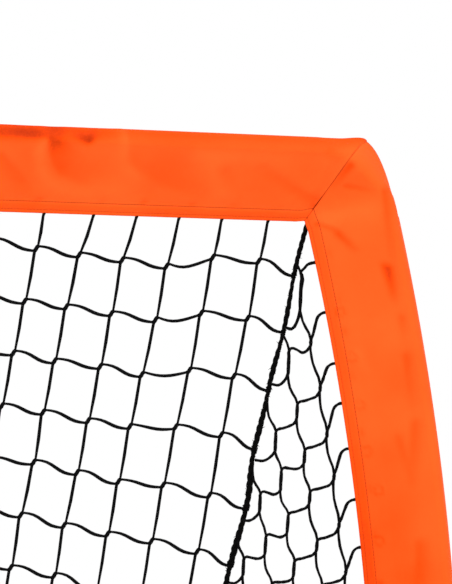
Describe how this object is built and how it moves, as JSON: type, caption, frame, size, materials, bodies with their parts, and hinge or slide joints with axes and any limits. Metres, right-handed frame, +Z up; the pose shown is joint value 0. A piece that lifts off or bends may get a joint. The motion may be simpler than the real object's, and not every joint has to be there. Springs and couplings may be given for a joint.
{
  "type": "folding soccer goal",
  "caption": "Folding soccer goal: sprung poles in sewn orange sleeves, hinged on a U-shaped steel base, with a black net on straps.",
  "frame": {"origin": "on the floor, in the middle of the goal's width and of its depth", "axes": "+X to the right as seen from in front, +Y from the mouth back to the net's foot, +Z up"},
  "size_m": [1.8292, 0.61, 1.2199],
  "materials": {
    "orange_sleeve": "satin coated polyester",
    "black_net": "braided polyester twine",
    "black_rope": "whipped net border rope",
    "black_webbing": "woven webbing",
    "black_steel_tube": "powder coat",
    "black_moulding": "moulded",
    "black_rubber": "matte",
    "zinc_steel": "zinc plated",
    "fibreglass": "drawn fibreglass",
    "elastic_cord": "braided cover",
    "orange_button": "moulded"
  },
  "bodies": {
    "ground_frame": {"left_ground_tube": "black_steel_tube", "right_ground_tube": "black_steel_tube", "rear_tube_left": "black_steel_tube", "rear_tube_right": "black_steel_tube", "rear_corner_left": "black_moulding", "rear_corner_right": "black_moulding", "rear_foot_left": "black_rubber", "rear_foot_right": "black_rubber", "hinge_housing_left": "black_moulding", "hinge_housing_right": "black_moulding", "front_foot_left": "black_rubber", "front_foot_right": "black_rubber", "pivot_pin_left": "zinc_steel", "pivot_pin_right": "zinc_steel", "pin_washer_left": "zinc_steel", "pin_washer_right": "zinc_steel", "lock_spring_left": "zinc_steel", "lock_spring_right": "zinc_steel", "rear_ferrule": "zinc_steel", "left_strap_1": "black_webbing", "left_strap_2": "black_webbing", "left_strap_3": "black_webbing", "right_strap_1": "black_webbing", "right_strap_2": "black_webbing", "right_strap_3": "black_webbing", "rear_strap_1": "black_webbing", "rear_strap_2": "black_webbing", "rear_strap_3": "black_webbing", "rear_strap_4": "black_webbing", "rear_strap_5": "black_webbing", "rear_strap_6": "black_webbing", "back_net": "black_net", "left_side_net": "black_net", "right_side_net": "black_net", "left_edge_rope": "black_rope", "right_edge_rope": "black_rope"},
    "mouth_frame": {"foot_knuckle_left": "black_moulding", "foot_knuckle_right": "black_moulding", "post_lower_left": "fibreglass", "post_lower_right": "fibreglass", "post_upper_left": "fibreglass", "post_upper_right": "fibreglass", "post_ferrule_left": "zinc_steel", "post_ferrule_right": "zinc_steel", "post_cord_left": "elastic_cord", "post_cord_right": "elastic_cord", "top_corner_left": "black_steel_tube", "top_corner_right": "black_steel_tube", "crossbar_left": "fibreglass", "crossbar_right": "fibreglass", "post_sleeve_left": "orange_sleeve", "post_sleeve_right": "orange_sleeve", "crossbar_ferrule": "zinc_steel", "crossbar_cord": "elastic_cord", "crossbar_sleeve": "orange_sleeve"},
    "lock_button_left": {"lock_button_left": "orange_button"},
    "lock_button_right": {"lock_button_right": "orange_button"}
  },
  "joints": [
    {"name": "mouth_fold", "type": "hinge", "parent": "ground_frame", "child": "mouth_frame", "pos_m": [0, -0.287, 0.07], "axis": [-1, 0, 0], "range_deg": [0, 90], "deforming": ["back_net", "left_side_net", "right_side_net", "left_edge_rope", "right_edge_rope"]},
    {"name": "lock_press_left", "type": "slide", "parent": "ground_frame", "child": "lock_button_left", "axis": [1, 0, 0], "range_m": [0, 0.004], "stiffness_N_per_m": 1200, "springref_m": -0.002, "deforming": ["lock_spring_left"]},
    {"name": "lock_press_right", "type": "slide", "parent": "ground_frame", "child": "lock_button_right", "axis": [-1, 0, 0], "range_m": [0, 0.004], "stiffness_N_per_m": 1200, "springref_m": -0.002, "deforming": ["lock_spring_right"]}
  ]
}
